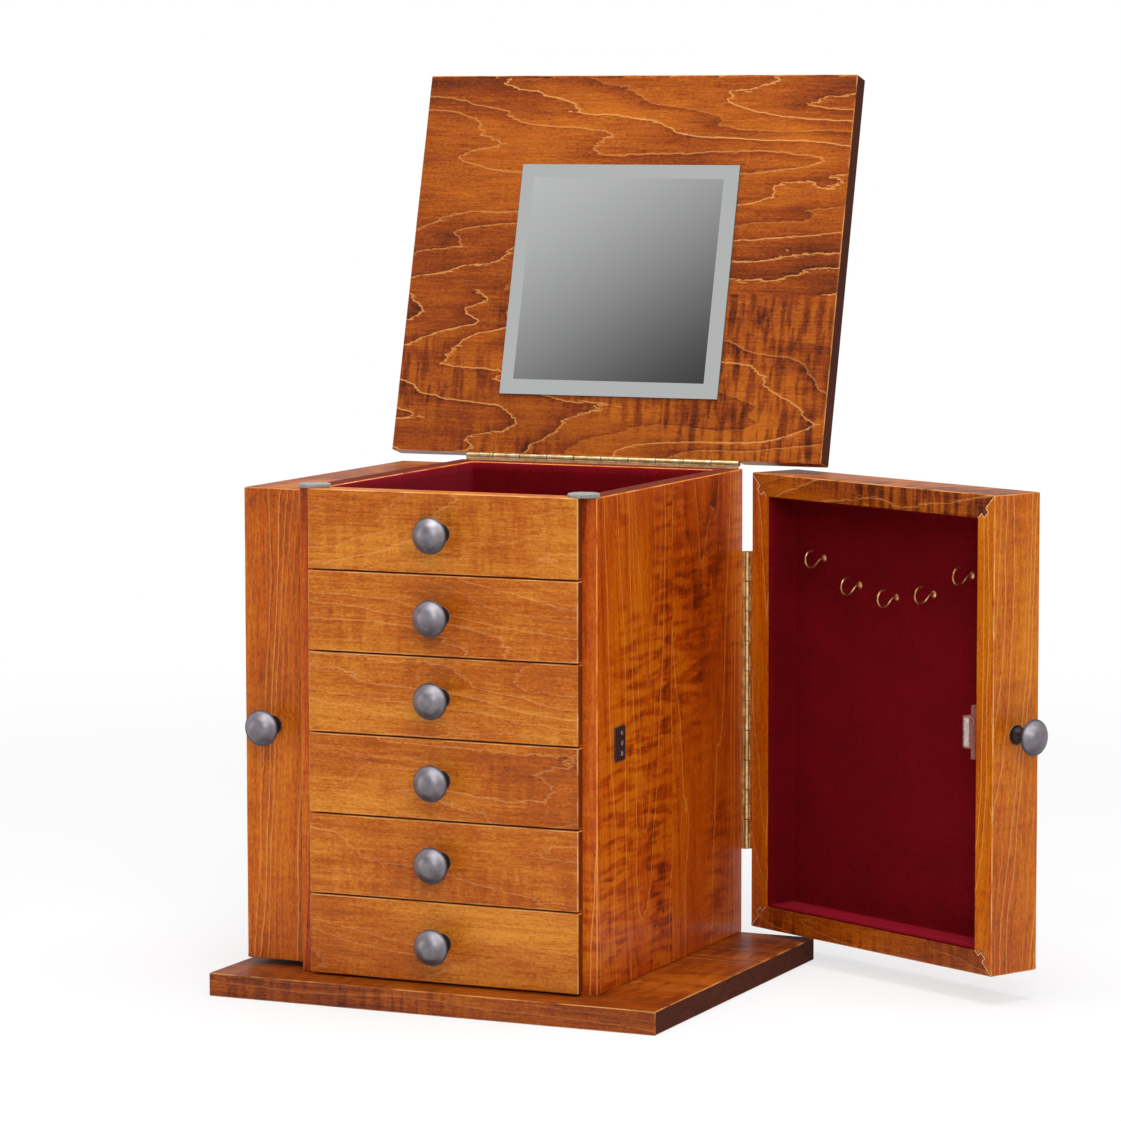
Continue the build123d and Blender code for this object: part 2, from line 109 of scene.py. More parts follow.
lens = bpy.data.cameras.new("long_lens")
lens.sensor_width = SENSOR_WIDTH
lens.lens = FOCAL_LENGTH
lens.clip_start = 0.1
camera = bpy.data.objects.new("camera", lens)
bpy.context.scene.collection.objects.link(camera)
bpy.context.scene.camera = camera
camera.matrix_world = (
    Matrix.Translation(CAMERA_PLACE)
    @ Matrix.Rotation(CAMERA_AZIMUTH, 4, "Z")
    @ Matrix.Rotation(math.pi / 2 - CAMERA_ELEVATION, 4, "X")
    @ Matrix.Rotation(CAMERA_ROLL, 4, "Z")
)
bpy.context.scene.view_settings.view_transform = "Standard"
print("camera height", round(CAMERA_PLACE.z, 3), "m, lens", round(lens.lens), "mm")

# %% [markdown]
# Shader maths reads best as arithmetic. A Flow is one socket, and its operators add Math nodes.
# A Paint is a material or a world being built, and its one method, node, adds any other node.

# %% Shader arithmetic
class Flow:
    """One socket of a material. Arithmetic on it adds Math nodes."""

    def __init__(self, paint, socket):
        self.paint = paint
        self.socket = socket

    def math(self, operation, *others):
        inputs = dict(enumerate((self,) + others))
        return self.paint.node("ShaderNodeMath", {"operation": operation}, inputs)

    def __add__(self, other):
        return self.math("ADD", other)

    def __sub__(self, other):
        return self.math("SUBTRACT", other)

    def __mul__(self, other):
        return self.math("MULTIPLY", other)

    def __truediv__(self, other):
        return self.math("DIVIDE", other)

    def __pow__(self, other):
        return self.math("POWER", other)

    def __abs__(self):
        return self.math("ABSOLUTE")

    def __rsub__(self, other):
        inputs = {0: other, 1: self}
        return self.paint.node("ShaderNodeMath", {"operation": "SUBTRACT"}, inputs)

    __radd__ = __add__
    __rmul__ = __mul__

    def rise(self, low, high):
        """0 below low and 1 above high, with a soft step between."""
        inputs = {"Value": self, "From Min": low, "From Max": high}
        return self.paint.node("ShaderNodeMapRange", {"interpolation_type": "SMOOTHSTEP"}, inputs)

    def dot(self, direction):
        inputs = {0: self, 1: tuple(direction)}
        return self.paint.node("ShaderNodeVectorMath", {"operation": "DOT_PRODUCT"}, inputs, 1)


# %% A material being built
class Paint:
    """A material or a world being built."""

    def __init__(self, name, is_world=False):
        store = bpy.data.worlds if is_world else bpy.data.materials
        self.made = store.new(name)
        self.made.use_nodes = True
        self.tree = self.made.node_tree
        self.tree.nodes.clear()

    def node(self, kind, settings=None, inputs=None, output=0):
        """Adds a node: its settings first, then the values or links of its sockets."""
        node = self.tree.nodes.new(kind)
        for key, value in (settings or {}).items():
            if key == "stops":
                ramp = node.color_ramp.elements
                while len(ramp) < len(value):
                    ramp.new(1.0)
                for stop, (place, colour) in zip(ramp, value):
                    stop.position = place
                    stop.color = colour
            else:
                setattr(node, key, value)
        for key, value in (inputs or {}).items():
            if isinstance(value, Flow):
                self.tree.links.new(value.socket, node.inputs[key])
            else:
                node.inputs[key].default_value = value
        return Flow(self, node.outputs[output]) if node.outputs else node

    def place(self):
        return self.node("ShaderNodeTexCoord", output=3)

    def facing(self):
        return self.node("ShaderNodeTexCoord", output=1)

    def vector(self, x, y, z):
        return self.node("ShaderNodeCombineXYZ", None, {0: x, 1: y, 2: z})

    def scaled(self, scale):
        """The place in the chest times a scale, for a texture that runs the same way all over."""
        return self.node("ShaderNodeVectorMath", {"operation": "SCALE"},
                         {0: self.place(), "Scale": scale})

    def grain(self, vector, detail=2.0, rough=0.5):
        inputs = {"Vector": vector, "Scale": 1.0, "Detail": detail, "Roughness": rough}
        return self.node("ShaderNodeTexNoise", None, inputs)

    def mix(self, share, first, second):
        """A colour between two colours."""
        inputs = {0: share, 6: first, 7: second}
        return self.node("ShaderNodeMix", {"data_type": "RGBA"}, inputs, 2)

    def ramp(self, share, stops):
        return self.node("ShaderNodeValToRGB", {"stops": stops}, {0: share})

    def bump(self, height, distance, strength=1.0):
        inputs = {"Height": height, "Distance": distance, "Strength": strength}
        return self.node("ShaderNodeBump", None, inputs)

    def finish(self, **sockets):
        """Ends the material in one Principled shader. A name's underscores stand for spaces."""
        inputs = {key.replace("_", " "): value for key, value in sockets.items()}
        shader = self.node("ShaderNodeBsdfPrincipled", None, inputs)
        self.node("ShaderNodeOutputMaterial", None, {0: shader})
        return self.made


# %% Colours
def srgb(red, green, blue):
    """A colour as a screen shows it, 0 to 255, as the light it stands for."""
    def light(value):
        share = value / 255
        return share / 12.92 if share <= 0.04045 else ((share + 0.055) / 1.055) ** 2.4
    return (light(red), light(green), light(blue), 1.0)


print("middle grey is", round(srgb(128, 128, 128)[0], 3), "of full light")


print("a middle grey of 128 is", round(srgb(128, 128, 128)[0], 3), "of full light")

# %% [markdown]
# The chest stands on plain white. The floor takes a soft shadow near the chest and turns into
# plain white light further off, so that no edge of it shows.

# %% Floor
SHADOW_REACH = 0.5
WHITE_REACH = 2.2
FLOOR_SIZE = 120
FLOOR_PLAIN = 0.70            # how plain white the floor shows beside the chest, of 1


def floor_material():
    paint = Paint("pale_floor")
    rays = paint.node("ShaderNodeLightPath")
    glossy = paint.node("ShaderNodeLightPath", output=3)
    seen = (rays + glossy).math("MINIMUM", 1.0)
    distance = paint.node("ShaderNodeVectorMath", {"operation": "LENGTH"}, {0: paint.place()}, 1)
    plain = seen * (FLOOR_PLAIN + (1 - FLOOR_PLAIN) * distance.rise(SHADOW_REACH, WHITE_REACH))
    matt = paint.node("ShaderNodeBsdfDiffuse", None, {"Color": (0.86, 0.86, 0.86, 1)})
    white = paint.node("ShaderNodeEmission", None, {"Color": (1, 1, 1, 1), "Strength": 1.0})
    both = paint.node("ShaderNodeMixShader", None, {0: plain, 1: matt, 2: white})
    paint.node("ShaderNodeOutputMaterial", None, {0: both})
    return paint.made


bpy.ops.mesh.primitive_plane_add(size=FLOOR_SIZE, location=(0, 0, 0))
floor = bpy.context.object
floor.name = "floor"
floor.data.materials.append(floor_material())
floor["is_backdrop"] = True
print("floor:", FLOOR_SIZE, "m wide")

# %% [markdown]
# The world is plain white to the camera. It lights matt faces at one strength and shows in gloss
# at another, so that each can be set by itself.

# %% World
WORLD_ON_MATT = 0.36
WORLD_IN_GLOSS = 0.55


def white_world():
    paint = Paint("white_studio", is_world=True)
    glossy = paint.node("ShaderNodeLightPath", output=3)
    unseen = paint.node("ShaderNodeMix", None, {0: glossy, 2: WORLD_ON_MATT, 3: WORLD_IN_GLOSS})
    seen = paint.node("ShaderNodeLightPath")
    strength = paint.node("ShaderNodeMix", None, {0: seen, 2: unseen, 3: 1.0})
    sky = paint.node("ShaderNodeBackground", None, {"Color": (1, 1, 1, 1), "Strength": strength})
    paint.node("ShaderNodeOutputWorld", None, {0: sky})
    return paint.made


bpy.context.scene.world = white_world()
print("world:", bpy.context.scene.world.name)

# %% [markdown]
# A large soft light stands high at the front right, a second lies overhead, and a weak one opens
# the shadows on the left. They stay at a level where a colour renders about as it is written.

# %% Lamps
AIM = Vector((0, 0, 0.3))


def soft_light(name, place, size, power):
    data = bpy.data.lights.new(name, "AREA")
    data.shape = "RECTANGLE"
    data.size, data.size_y = size
    data.energy = power
    lamp = bpy.data.objects.new(name, data)
    bpy.context.scene.collection.objects.link(lamp)
    lamp.location = place
    lamp.rotation_mode = "QUATERNION"
    lamp.rotation_quaternion = (AIM - lamp.location).to_track_quat("-Z", "Y")
    lamp.visible_camera = False
    return lamp


soft_light("key_front", Vector((1.9, -2.9, 2.1)), (1.5, 1.5), 50)
soft_light("overhead", Vector((0.2, -0.1, 2.4)), (1.6, 1.6), 50)
soft_light("fill_left", Vector((-2.9, -1.5, 0.7)), (1.4, 1.4), 14)

# %% [markdown]
# Maple is pale and close, and a wiping stain brings out what it hides: growth rings that show as
# thin pale lines with a darker side, bands of curl across the grain, short flecks along it and
# blotches where the wood drank more. All of it is one solid texture. Rings are shells round a pith
# that runs beside the board, a little out of line with it, so the same rule draws arches on a
# face, straight lines on an edge and arcs on an end, and every corner agrees. Wide boards are
# glued from planks, so the distance across the board is cut into planks, each with its own pith.

# %% Maple
PITH_DEPTH = 50 * MM          # how far the pith lies under the face
LINE = 1.7 * MM               # width of a ring's pale line
STEP = 0.8 * MM               # how far apart the rings are compared to find their slope
CURL_SHADE = 0.28             # how far each of these moves the stain's tone
BLOTCH_SHADE = 1.36
FLECK_SHADE = 0.16
RING_SHADE = 0.26
LINE_SHOW = 0.70              # how strongly a ring's pale line shows
MIDDLE_TONE = 0.56            # the stain's tone before any of them
END_SOAK = 0.25               # the end grain's deepest colour, as a share of a face's
END_SHOW = 0.92
RUBBED_AND_HIGHLIGHT_SHOW = 0.6             # how pale an arris gets, from rubbed wear and a painted highlight


def maple(name, along, across, shades, planks, curl=(0.5, 0.5), ring=5.5, lines=1.0, contrast=1.0,
          wavy=1.0, tilt=0.07, seed=0.0, turn=SHUT):
    """Stained maple. planks is the width of a plank and the place of one joint, across the board.

    shades are four colours: where the stain is deepest, middling, lightest, and the ring line.
    curl is its strength on every second plank and on the others, ring the distance from one
    growth ring to the next in millimetres, and wavy how far the rings stray.
    """
    paint = Paint(name)
    place = paint.place()
    rotation = turn.to_3x3()
    shut = turn.inverted().translation
    along, across = Vector(along), Vector(across)
    through = along.cross(across)
    facing = paint.facing()
    end, side, flat = (abs(facing.dot(rotation @ axis)) for axis in (along, across, through))
    u, v, w = (place.dot(rotation @ axis) + shut.dot(axis) for axis in (along, across, through))
    plank_width, joint = planks
    shifted = (v - joint) / plank_width
    index = shifted.math("FLOOR")
    v_plank = (shifted - index - 0.5) * plank_width

    def chance(number, salt):
        return paint.node("ShaderNodeTexWhiteNoise", {"noise_dimensions": "1D"},
                          {"W": number + (seed + salt)})

    own, own_two = chance(index, 0.37), chance(index, 5.71)
    u_own = u + own * 9.0 + seed * 1.7

    def figure(per_u, per_v, detail=2.0, rough=0.5, shift=(0.0, 0.0, 0.0)):
        at = paint.vector((u_own + shift[0]) * per_u, (v_plank + shift[1]) * per_v,
                          (w + shift[2]) * per_v)
        return paint.grain(at, detail, rough)

    def rings(du, dv, dw):
        """How many rings lie between the pith and this place, or one a small step away."""
        shift = (du, dv, dw)
        wander = (figure(1.7, 10.0, 3.0, 0.5, shift) - 0.5) * (0.060 * wavy)
        ragged = (figure(60.0, 200.0, 3.0, 0.6, shift) - 0.5) * 0.0018
        from_v = v_plank + (own - 0.5) * 0.06 + dv
        from_w = w + dw + PITH_DEPTH + (u + du + (own_two - 0.5) * 0.3) * tilt
        distance = (from_v * from_v + from_w * from_w) ** 0.5
        return (distance + wander + ragged) / (ring * MM)

    shells = rings(0.0, 0.0, 0.0)
    on_side = side.rise(0.6, 0.8)
    slope_u = rings(STEP, 0.0, 0.0) - shells
    slope_v = rings(0.0, (1 - on_side) * STEP, on_side * STEP) - shells
    slope = ((slope_u * slope_u + slope_v * slope_v) ** 0.5 + 0.002) / STEP
    number = shells.math("FLOOR")
    within = shells - number
    ring_own = chance(number + index * 31.0, 1.9)
    strong = ring_own.rise(0.10, 0.90)
    line = (1 - (within / slope).rise(0.25 * LINE, LINE)) * strong
    late = within ** 3.0 * (0.25 + strong)

    alternate = (index * 0.5).math("FRACT") * 2.0
    curl_here = curl[0] + (curl[1] - curl[0]) * alternate
    streaks = figure(6.0, 150.0, 2.0, 0.55) - 0.5
    fine = figure(30.0, 520.0, 2.0, 0.6) - 0.5
    ripple = figure(150.0, 24.0, 2.0, 0.5)
    waves = 1 - abs(figure(90.0, 15.0, 1.0, 0.5, (3.1, 1.7, 0.9)) - 0.5).rise(0.0, 0.06)
    curl_where = figure(4.0, 12.0, 2.0, 0.5).rise(0.36, 0.60) * curl_here
    bands = ripple.rise(0.40, 0.64) - 0.40 + waves * 0.35 * ripple.rise(0.40, 0.60)
    blotches = figure(5.0, 11.0, 4.0, 0.58) - 0.5
    flecks = figure(110.0, 620.0, 2.0, 0.6).rise(0.50, 0.72) - 0.3
    mottle = figure(300.0, 560.0, 2.0, 0.7) - 0.5

    grained = streaks * 0.30 + fine * 0.55 + mottle * 0.75 - flecks * FLECK_SHADE
    tone = (MIDDLE_TONE - late * (RING_SHADE * lines) - bands * curl_where * CURL_SHADE
            + (blotches * BLOTCH_SHADE + grained) * contrast + (own_two - 0.5) * 0.08)
    deep, middle, pale, ring_pale = shades
    wood = paint.ramp(tone, [(0.04, deep), (0.50, middle), (0.94, pale)])
    wood = paint.mix(line * (LINE_SHOW * lines), wood, ring_pale)

    end_grain = end.rise(0.80, 0.95)
    end_deep = tuple(c * END_SOAK for c in deep[:3]) + (1,)
    wood = paint.mix(end_grain * END_SHOW, wood, paint.mix(late, deep, end_deep))
    # rubbed wear and painted highlight: arrises are mixed towards the pale ring colour, in patches
    arris = 1 - end.math("MAXIMUM", side).math("MAXIMUM", flat).rise(0.74, 0.93)
    rubbed_and_highlit = arris * figure(40.0, 40.0).rise(0.30, 0.62)
    wood = paint.mix(rubbed_and_highlit * RUBBED_AND_HIGHLIGHT_SHOW, wood, ring_pale)

    pores = figure(110.0, 2400.0, 2.0, 0.6)
    height = pores * 0.6 + ripple * curl_where * 0.5 + line * 0.4
    roughness = 0.38 + pores * 0.14 + end_grain * 0.4
    return paint.finish(
        Base_Color=wood, Roughness=roughness, Normal=paint.bump(height, 0.00015, 0.5),
        Coat_Weight=0.08 - end_grain * 0.08, Coat_Roughness=0.2, Specular_IOR_Level=0.2)


print("a ring's pale line is", round(LINE / MM, 1), "mm wide")

# %% Stains and who wears them
def wear(names, material):
    """Gives a material to frame nodes, in the slot that each already has."""
    for name in names:
        nodes[name].material_slots[0].material = material
    print(material.name, "on", ", ".join(names))


GOLDEN = (srgb(104, 34, 0), srgb(180, 88, 6), srgb(220, 144, 44), srgb(240, 184, 116))
AMBER = (srgb(104, 36, 0), srgb(180, 80, 0), srgb(212, 122, 4), srgb(238, 176, 96))
RUSSET = (srgb(92, 18, 0), srgb(184, 70, 0), srgb(218, 116, 6), srgb(238, 164, 76))
UMBER = (srgb(66, 18, 0), srgb(136, 57, 1), srgb(184, 98, 14), srgb(226, 158, 84))

# %% The case, its base and its lid
low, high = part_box("side_panel_right")
wear(["side_panel_right"],
     maple("maple_side_right", Z, Y, RUSSET, (0.152, low.y), curl=(1.3, 1.1), ring=6.5, lines=0.8,
           contrast=0.9, seed=3.0, tilt=0.05))
wear(["side_panel_left"],
     maple("maple_side_left", Z, Y, RUSSET, (0.152, low.y), curl=(0.5, 0.9), ring=6.5, lines=0.7,
           seed=4.4))
wear(["back_panel"],
     maple("maple_back", Z, X, RUSSET, (0.112, 0.0), curl=(0.6, 0.3), lines=0.8, seed=6.1))
low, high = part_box("base_board")
wear(["base_board"],
     maple("maple_base", X, Y, UMBER, (0.114, low.y), curl=(0.9, 0.6), lines=0.8, seed=1.9,
           tilt=0.03))
LID_JOINT = 0.146             # the joint from the lid's back edge
LID_PLANK = 0.189
lid_back = joints["lid_hinge"]["pos_m"][1]
wear(["lid_board"],
     maple("maple_lid", X, Y, UMBER, (LID_PLANK, lid_back - LID_JOINT), curl=(1.5, 0.1),
           ring=5.0, lines=1.0, seed=2.3, turn=LID))

# %% The fronts
DRAWERS = range(1, 6)
fronts = ["top_front"] + [f"drawer_{n}_front" for n in DRAWERS]
for number, name in enumerate(fronts):
    low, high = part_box(name)
    wear([name], maple("maple_" + name, X, Z, GOLDEN, (0.2, (low.z + high.z) / 2 - 0.1),
                       curl=(0.35, 0.35), ring=3.6, lines=0.34, contrast=0.9, wavy=0.8, tilt=0.02,
                       seed=11.3 + number * 2.9))

# %% The doors
for side, turn, seed in (("left", SHUT, 31.0), ("right", RIGHT_DOOR, 47.0)):
    low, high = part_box(side + "_door_stiles")
    middle = (low.z + high.z) / 2
    hinge_y = joints[side + "_door_hinge"]["pos_m"][1]
    wear([side + "_door_stiles"],
         maple(f"maple_{side}_stiles", Z, Y, AMBER, (0.146, hinge_y - 0.146), curl=(0.3, 0.3),
               ring=4.5, lines=0.55, seed=seed, turn=turn))
    wear([side + "_door_rails"],
         maple(f"maple_{side}_rails", Y, Z, UMBER, (0.20, middle), curl=(1.8, 1.8), lines=0.6,
               seed=seed + 1.3, turn=turn))
    wear([side + "_door_panel"],
         maple(f"maple_{side}_panel", Z, Y, RUSSET, (0.127, hinge_y - 0.148), curl=(0.8, 0.5),
               ring=6.5, lines=0.7, seed=seed + 2.9, turn=turn))

# %% [markdown]
# Inside the case the boards are plain: pale unstained wood, dry to the touch, that only shows when
# a drawer is pulled out. The same maple serves, with paler shades and less contrast.

# %% Plain inside wood
PLAIN = (srgb(150, 112, 74), srgb(205, 168, 122), srgb(224, 192, 150), srgb(214, 176, 128))
wear(["well_floor", "drawer_dividers"],
     maple("plain_shelves", X, Y, PLAIN, (0.11, 0.0), curl=(0.2, 0.2), lines=0.5, contrast=0.4,
           seed=60.0))
for number in DRAWERS:
    wear([f"drawer_{number}_box"],
         maple(f"plain_drawer_{number}", Y, Z, PLAIN, (0.2, 0.0), curl=(0.2, 0.2), lines=0.5,
               contrast=0.4, seed=62.0 + number))
    wear([f"drawer_{number}_bottom"],
         maple(f"plain_bottom_{number}", X, Y, PLAIN, (0.3, -0.1), curl=(0.2, 0.2), lines=0.6,
               contrast=0.4, seed=71.0 + number))
print("maple finishes:", sum(m.name.startswith(("maple", "plain")) for m in bpy.data.materials))

# %% [markdown]
# The knobs are cast and darkened, then rubbed back: bright satin on the crown, dark where a cloth
# can't reach, on the neck and under the rim. Height above the foot tells those places apart. Each
# knob is also painted lighter at its top and darker at its bottom, as painted shade from above,
# and the edge of its foot gets a pale painted highlight.

# %% Knobs
KNOB_PROJECTION = 29.5 * MM
KNOB_RIM = 20.0 * MM
KNOB_RADIUS = 14.8 * MM


def knob_metal(name, foot, outwards):
    paint = Paint(name)
    place = paint.place()
    rise = (place.dot(outwards) - foot.dot(outwards)) / MM
    # painted shade: height makes each knob lighter towards its top and darker towards its bottom,
    # as if lit from above
    height = (place.dot(Z) - foot.z) / KNOB_RADIUS
    cloudy = paint.grain(paint.scaled(160.0), 3.0)
    speckle = paint.grain(paint.scaled(1400.0), 2.0)
    crown = rise.rise(KNOB_RIM / MM + 0.6, KNOB_RIM / MM + 2.8)
    painted_foot_highlight = 1 - rise.rise(0.9, 1.5)
    bright = crown * (0.50 + cloudy * 0.35 + height * 0.22) - speckle.rise(0.62, 0.8) * 0.10
    metal = paint.ramp(bright, [(0.0, srgb(62, 56, 58)), (0.5, srgb(96, 91, 96)),
                                (1.0, srgb(178, 172, 178))])
    # painted highlight: a pale ring at the edge of the foot
    metal = paint.mix(painted_foot_highlight * 0.8, metal, srgb(226, 206, 188))
    return paint.finish(Base_Color=metal, Metallic=1.0, Roughness=0.46 + cloudy * 0.08,
                        Normal=paint.bump(speckle, 0.00006, 0.35))


for name in ["top_front_knob"] + [f"drawer_{n}_knob" for n in DRAWERS] + ["left_door_knob"]:
    low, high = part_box(name)
    foot = Vector(((low.x + high.x) / 2, low.y + KNOB_PROJECTION, (low.z + high.z) / 2))
    wear([name], knob_metal("satin_" + name, foot, -Y))
outwards = RIGHT_DOOR.to_3x3() @ -Y
tip = max(v.co.dot(outwards) for v in nodes["right_door_knob"].data.vertices)
foot = outwards * (tip - KNOB_PROJECTION)
foot.z = low.z + KNOB_RADIUS
wear(["right_door_knob"], knob_metal("satin_right_door_knob", foot, outwards))

# %% [markdown]
# The piano hinges are rolled brass. Light catches the rolled knuckles and tarnish clouds the leaf.
# The crevice beside each knuckle is painted dark, as painted shade, and the distance from the pin
# finds that crevice on every hinge. Every second joint between knuckles gets a thin dark slit of
# painted shadow, which the distance along the pin finds.

# %% Brass
KNUCKLE_RADIUS = 2.35 * MM
CREVICE = 2.75 * MM
KNUCKLE_PITCH = 12.7 * MM
KNUCKLES = round(nodes["lid_hinge_leaf"].dimensions.x / KNUCKLE_PITCH)
CREVICE_SHADE_SHOW = 0.55
SLIT_SHADE_SHOW = 0.9
SLIT = 0.55 * MM              # half the shadow where two knuckles meet


def brass(name, pale, dark, scale, hinge=None):
    paint = Paint(name)
    tarnish = paint.grain(paint.scaled(scale), 4.0, 0.6)
    fine = paint.grain(paint.scaled(2600.0), 1.0)
    metal = paint.mix(tarnish.rise(0.34, 0.72), dark, pale)
    if hinge:
        axis = Vector(joints[hinge]["axis"])
        sideways, back = axis.cross(Y).normalized(), Y
        pin = Vector(joints[hinge]["pos_m"])
        across = paint.place().dot(sideways) - pin.dot(sideways)
        behind = paint.place().dot(back) - pin.dot(back)
        reach = (across * across + behind * behind) ** 0.5
        # painted shade: the crevice beside each knuckle is painted dark
        crevice_shade = reach.rise(KNUCKLE_RADIUS * 0.99, KNUCKLE_RADIUS * 1.02)
        crevice_shade = crevice_shade * (1 - reach.rise(CREVICE * 0.92, CREVICE))
        metal = paint.mix(crevice_shade * CREVICE_SHADE_SHOW, metal, srgb(60, 38, 16))
        low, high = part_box(hinge + "_leaf")
        pair = 2 * abs((high - low).dot(axis)) / KNUCKLES
        pairs = (paint.place().dot(axis) - low.dot(axis)) * (1 / pair)
        # painted shadow: a thin dark slit where two knuckles meet
        slit_shade = abs(pairs.math("FRACT") - 0.5).rise(0.5 - SLIT / pair, 0.5 - 0.4 * SLIT / pair)
        barrel = 1 - reach.rise(KNUCKLE_RADIUS * 1.02, KNUCKLE_RADIUS * 1.05)
        metal = paint.mix(slit_shade * barrel * SLIT_SHADE_SHOW, metal, srgb(40, 24, 10))
    return paint.finish(Base_Color=metal, Metallic=1.0, Roughness=0.30 + tarnish * 0.16,
                        Normal=paint.bump(fine, 0.00003, 0.3))


# %% Hinges, screws and hooks
PALE_BRASS, DULL_BRASS = srgb(255, 242, 200), srgb(226, 198, 138)
DEEP_BRASS, DARK_BRASS = srgb(255, 236, 168), srgb(208, 174, 104)
wear(["lid_hinge_case_leaf", "lid_hinge_leaf"],
     brass("lid_hinge_brass", PALE_BRASS, DULL_BRASS, 160.0, "lid_hinge"))
for side in ("left", "right"):
    wear([side + "_hinge_case_leaf", side + "_door_hinge_leaf"],
         brass(side + "_hinge_brass", DEEP_BRASS, DARK_BRASS, 160.0, side + "_door_hinge"))
screw_brass = brass("screw_brass", DEEP_BRASS, DARK_BRASS, 300.0)
wear(["case_hinge_screws", "lid_screws", "left_door_screws", "right_door_screws"], screw_brass)
wear(["left_door_hooks", "right_door_hooks"],
     brass("hook_brass", srgb(246, 204, 150), srgb(176, 120, 76), 220.0))


# %% Plain metal
def plain_metal(name, colour, shadow, roughness, scale=420.0):
    paint = Paint(name)
    cloudy = paint.grain(paint.scaled(scale), 4.0, 0.6)
    return paint.finish(Base_Color=paint.mix(cloudy.rise(0.35, 0.7), shadow, colour), Metallic=1.0,
                        Roughness=roughness + cloudy * 0.15,
                        Normal=paint.bump(cloudy, 0.00005, 0.4))


wear(["hinge_pins"], plain_metal("pin_steel", srgb(176, 176, 180), srgb(120, 120, 124), 0.3))
wear(["strike_plates"],
     plain_metal("bronzed_plate", srgb(142, 122, 118), srgb(70, 52, 52), 0.42, 900.0))

# %% [markdown]
# The magnetic catch is a moulded brown case with two dull plates that stand in its mouth. Neither
# is polished, so one finish serves for both, brown for the case and light grey for the plates.

# %% Catch
def moulded(name, colour, shadow):
    paint = Paint(name)
    cells = paint.scaled(600.0)
    cloudy = paint.grain(cells, 3.0, 0.6)
    return paint.finish(Base_Color=paint.mix(cloudy.rise(0.3, 0.7), shadow, colour),
                        Roughness=0.42 + cloudy * 0.15, Normal=paint.bump(cloudy, 0.00006, 0.4))


catch_plastic = moulded("catch_plastic", srgb(168, 108, 98), srgb(112, 68, 62))
wear(["left_door_catch", "right_door_catch"], catch_plastic)
wear(["left_door_magnet", "right_door_magnet"],
     moulded("magnet_plates", srgb(214, 210, 206), srgb(168, 164, 160)))

# %% [markdown]
# Small steel screws hold the strike plates. A screw head is turned on a lathe and then punched, so
# it is built the same way here: rings of points on a dome, and the points that fall inside a cross
# are pushed down.

# %% Screw heads
HEAD_SPOKES = 32
HEAD_RINGS = 8
CROSS_HALF_WIDTH = 0.16       # of the head's radius
CROSS_REACH = 0.62
CROSS_DEPTH = 0.45            # of the head's height


def disc_mesh(mesh, foot, outwards, radius, height, spin=0.0, cross=False):
    """Adds a domed head to a mesh. foot is the middle of its flat side."""
    frame_turn = outwards.to_track_quat("Z", "Y") @ Matrix.Rotation(spin, 3, "Z").to_quaternion()
    rings = []
    for step in range(HEAD_RINGS + 1):
        share = step / HEAD_RINGS
        ring = []
        for spoke in range(HEAD_SPOKES if step else 1):
            angle = 2 * math.pi * spoke / HEAD_SPOKES
            x, y = share * math.cos(angle), share * math.sin(angle)
            z = (1 - share ** 4 * 0.8)
            narrow = min(abs(x), abs(y)) < CROSS_HALF_WIDTH and max(abs(x), abs(y)) < CROSS_REACH
            z -= CROSS_DEPTH if cross and narrow else 0
            ring.append(mesh.verts.new(
                foot + frame_turn @ Vector((x * radius, y * radius, z * height))))
        rings.append(ring)
    rings.append([mesh.verts.new(v.co - outwards * (v.co - foot).dot(outwards))
                  for v in rings[-1]])
    for spoke in range(HEAD_SPOKES):
        after = (spoke + 1) % HEAD_SPOKES
        mesh.faces.new((rings[0][0], rings[1][spoke], rings[1][after]))
        for inner, outer in zip(rings[1:], rings[2:]):
            mesh.faces.new((inner[spoke], outer[spoke], outer[after], inner[after]))
    mesh.faces.new(list(reversed(rings[-1])))


# %% From a mesh to a piece
def placed(name, mesh, material, smooth_sides=4):
    """Puts a finished mesh into the scene. Faces with up to smooth_sides sides are smooth."""
    data = bpy.data.meshes.new(name)
    mesh.to_mesh(data)
    mesh.free()
    for polygon in data.polygons:
        polygon.use_smooth = len(polygon.vertices) <= smooth_sides
    thing = bpy.data.objects.new(name, data)
    bpy.context.scene.collection.objects.link(thing)
    data.materials.append(material)
    print(name, "has", len(data.polygons), "faces")
    return thing


def piece(name, mesh, material, body, smooth_sides=4):
    """Turns a finished mesh into a piece that rides on a body."""
    thing = placed(name, mesh, material, smooth_sides)
    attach(thing, body)


# %% Screws of the strike plates
SCREW_RADIUS = 2.1 * MM
SCREW_DOME = 0.55 * MM
SCREW_PITCH = 8.3 * MM
SCREW_SUNK = 0.05 * MM
STRIKE_LINE = 13.0 * MM       # from the strike plate's front edge
screw_steel = plain_metal("screw_steel", srgb(224, 210, 204), srgb(120, 104, 100), 0.32)
low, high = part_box("strike_plates")
for side, x in (("left", low.x), ("right", high.x)):
    mesh = bmesh.new()
    outwards = X if side == "right" else -X
    for step in (-1, 0, 1):
        z = (low.z + high.z) / 2 + step * SCREW_PITCH
        foot = Vector((x, low.y + STRIKE_LINE, z)) - outwards * SCREW_SUNK
        disc_mesh(mesh, foot, outwards, SCREW_RADIUS, SCREW_DOME, 0.5 + step, True)
    piece(side + "_strike_screws", mesh, screw_steel, "case")

# %% [markdown]
# The door frames are joined with a lock mitre. Its line runs in from the corner, steps sideways
# and runs on, and the joint shows as a painted highlight on its edge beside a painted shadow in
# its gap. Both are modelled as strips that lie in the wood and stand a hair proud of it.

